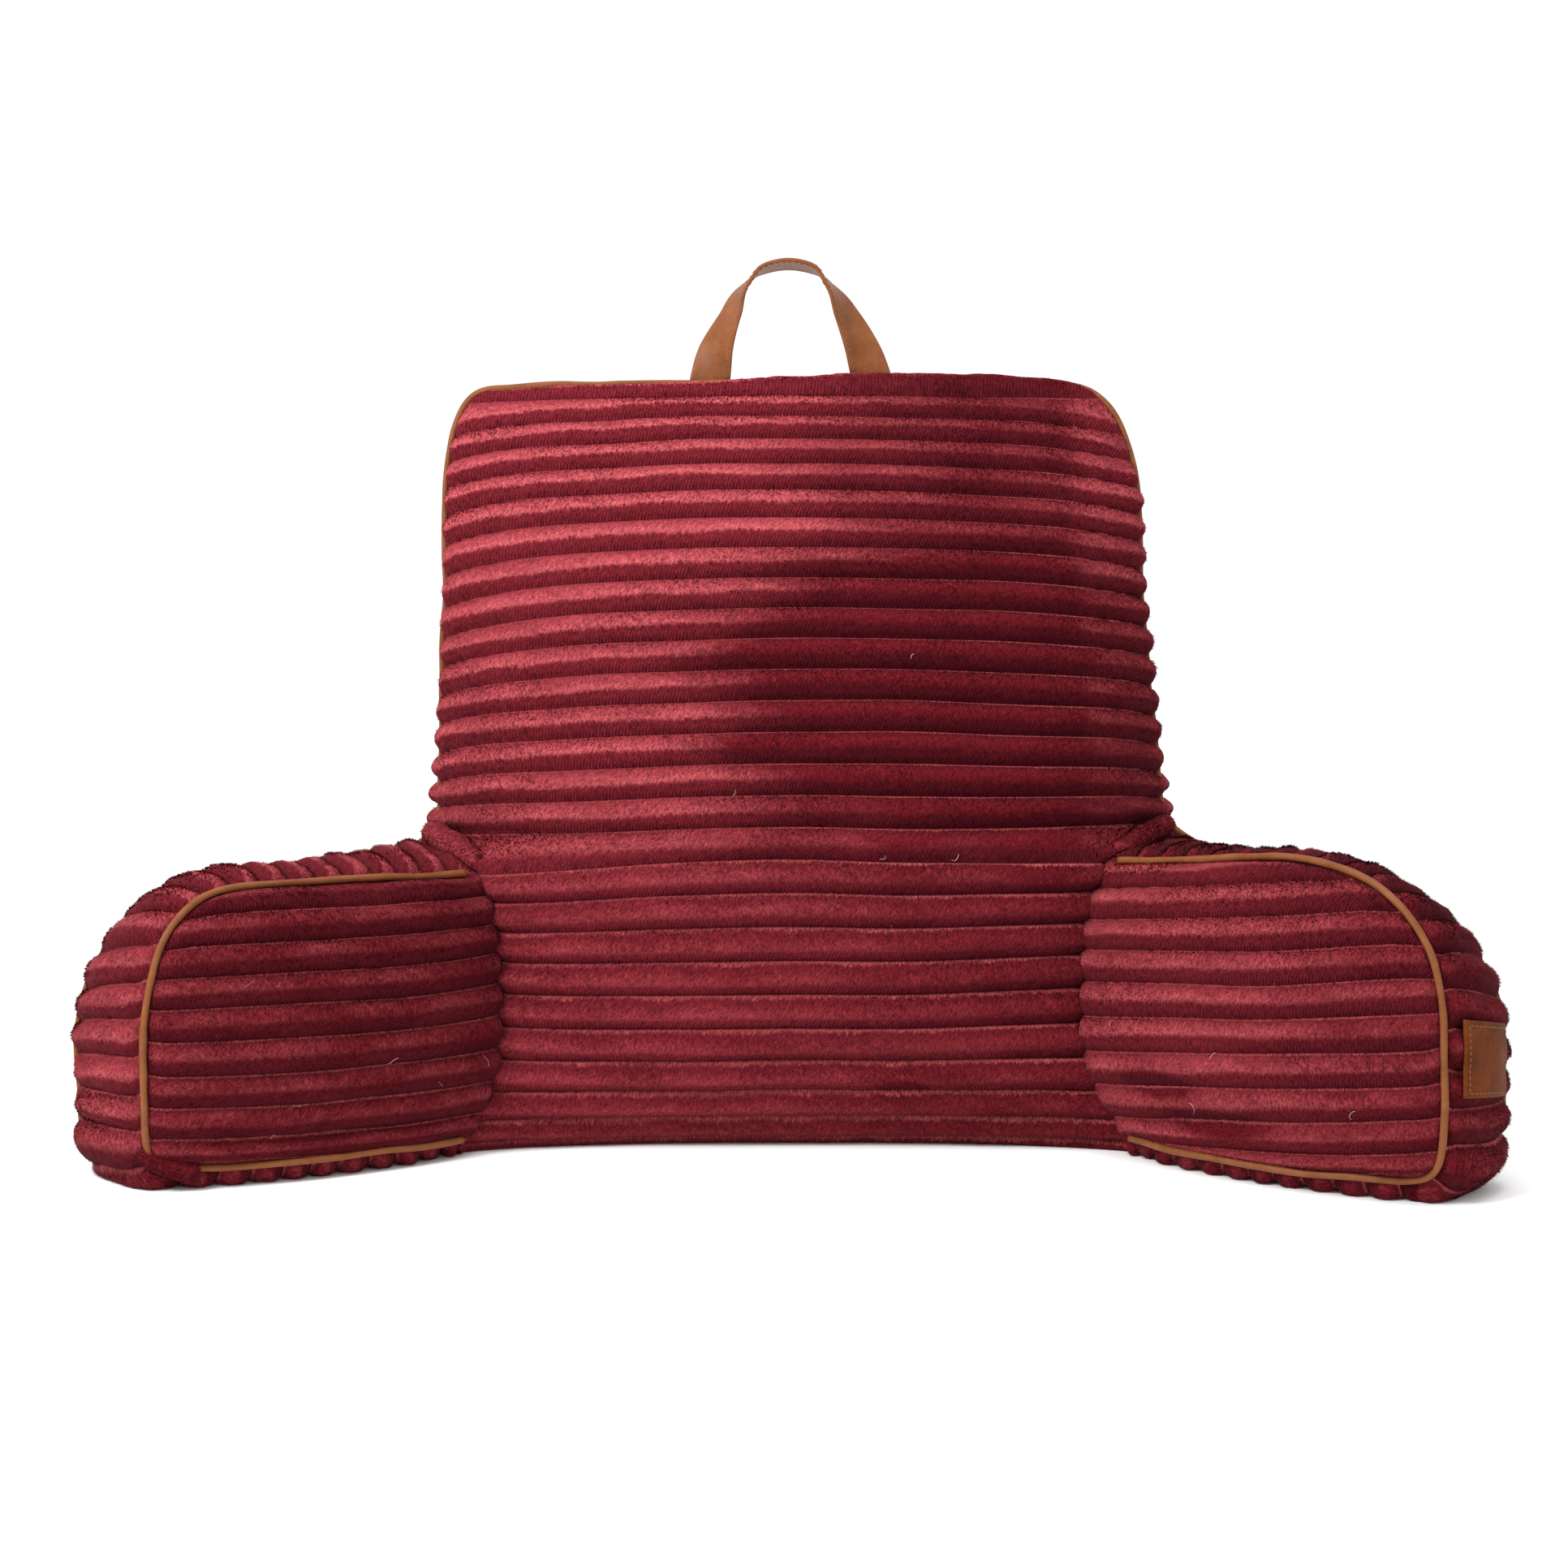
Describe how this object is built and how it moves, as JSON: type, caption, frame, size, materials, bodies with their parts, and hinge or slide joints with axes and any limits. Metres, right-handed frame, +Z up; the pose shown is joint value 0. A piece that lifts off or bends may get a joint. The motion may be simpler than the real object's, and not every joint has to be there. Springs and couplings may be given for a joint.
{
  "type": "backrest pillow",
  "caption": "Upright backrest pillow with two forward arms, in wide-rib plush with piped seams, a strap handle on top and a small patch on one arm.",
  "frame": {"origin": "on the floor, at the middle of the base", "axes": "+Z up, -Y towards the sitter, where the arms point, and +X to the right as seen from the front"},
  "size_m": [0.9116, 0.4422, 0.5904],
  "materials": {
    "plush": "short brushed pile in wide ribs, burgundy",
    "leather": "smooth tan imitation leather, satin"
  },
  "bodies": {
    "root": {"backrest": "plush", "arm_left": "plush", "arm_right": "plush", "piping_outer": "leather", "piping_arm_left": "leather", "piping_arm_right": "leather", "handle": "leather", "label": "leather"}
  },
  "joints": []
}
